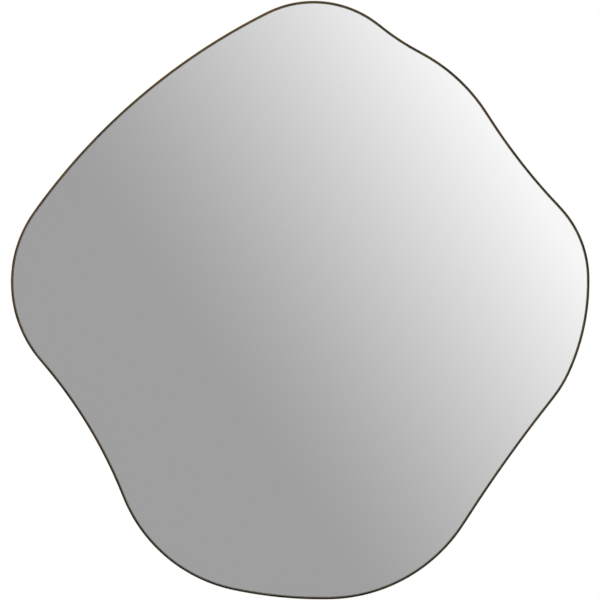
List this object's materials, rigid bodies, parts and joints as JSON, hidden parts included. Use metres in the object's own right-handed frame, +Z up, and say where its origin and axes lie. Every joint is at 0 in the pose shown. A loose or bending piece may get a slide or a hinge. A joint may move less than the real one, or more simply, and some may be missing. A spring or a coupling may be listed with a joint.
{
  "type": "irregular shaped mirror",
  "caption": "Wall mirror with a softly lobed irregular outline in a slim dark bronze steel band, with backing board, swinging hanger rings and rubber wall bumpers.",
  "frame": {"origin": "on the wall plane, behind the middle of the outline's width and height", "axes": "+X to the right of someone who looks into the mirror, +Y into the wall, +Z up; the glass faces -Y"},
  "size_m": [0.9669, 0.0265, 1],
  "materials": {
    "bronzed_steel": "dark bronze patina on steel, satin, faintly brushed along the bar",
    "silvered_glass": "polished silvered glass, ground arris",
    "clear_silicone": "translucent grey silicone, soft satin",
    "backing_film": "woven polythene safety film, matt",
    "foam_tape": "closed-cell foam, matt",
    "fibreboard": "raw medium-density fibreboard, fine fibres, matt",
    "shim_plastic": "moulded plastic, matt",
    "plated_steel": "nickel-plated steel, satin",
    "screw_zinc": "bright zinc plate",
    "bumper_rubber": "moulded black rubber, matt"
  },
  "bodies": {
    "mirror": {"frame_band": "bronzed_steel", "edge_seal": "clear_silicone", "mirror_glass": "silvered_glass", "safety_film": "backing_film", "mounting_tape_1": "foam_tape", "mounting_tape_2": "foam_tape", "mounting_tape_3": "foam_tape", "mounting_tape_4": "foam_tape", "mounting_tape_5": "foam_tape", "backing_board": "fibreboard", "centring_shim_1": "shim_plastic", "centring_shim_2": "shim_plastic", "centring_shim_3": "shim_plastic", "centring_shim_4": "shim_plastic", "centring_shim_5": "shim_plastic", "centring_shim_6": "shim_plastic", "frame_tab_1": "bronzed_steel", "frame_tab_2": "bronzed_steel", "frame_tab_3": "bronzed_steel", "frame_tab_4": "bronzed_steel", "frame_tab_5": "bronzed_steel", "frame_tab_6": "bronzed_steel", "frame_tab_7": "bronzed_steel", "frame_tab_8": "bronzed_steel", "tab_screws": "screw_zinc", "hanger_strap_left": "plated_steel", "hanger_strap_right": "plated_steel", "hanger_screws": "screw_zinc", "wall_bumper_1": "bumper_rubber", "wall_bumper_2": "bumper_rubber", "wall_bumper_3": "bumper_rubber", "wall_bumper_4": "bumper_rubber", "bumper_screws": "screw_zinc"},
    "ring_left": {"hanger_ring_left": "plated_steel"},
    "ring_right": {"hanger_ring_right": "plated_steel"}
  },
  "joints": [
    {"name": "ring_left_swing", "type": "hinge", "parent": "mirror", "child": "ring_left", "pos_m": [-0.225, -0.0075, 0.23], "axis": [1, 0, 0], "range_deg": [0, 183]},
    {"name": "ring_right_swing", "type": "hinge", "parent": "mirror", "child": "ring_right", "pos_m": [0.235, -0.0075, 0.23], "axis": [1, 0, 0], "range_deg": [0, 183]}
  ]
}
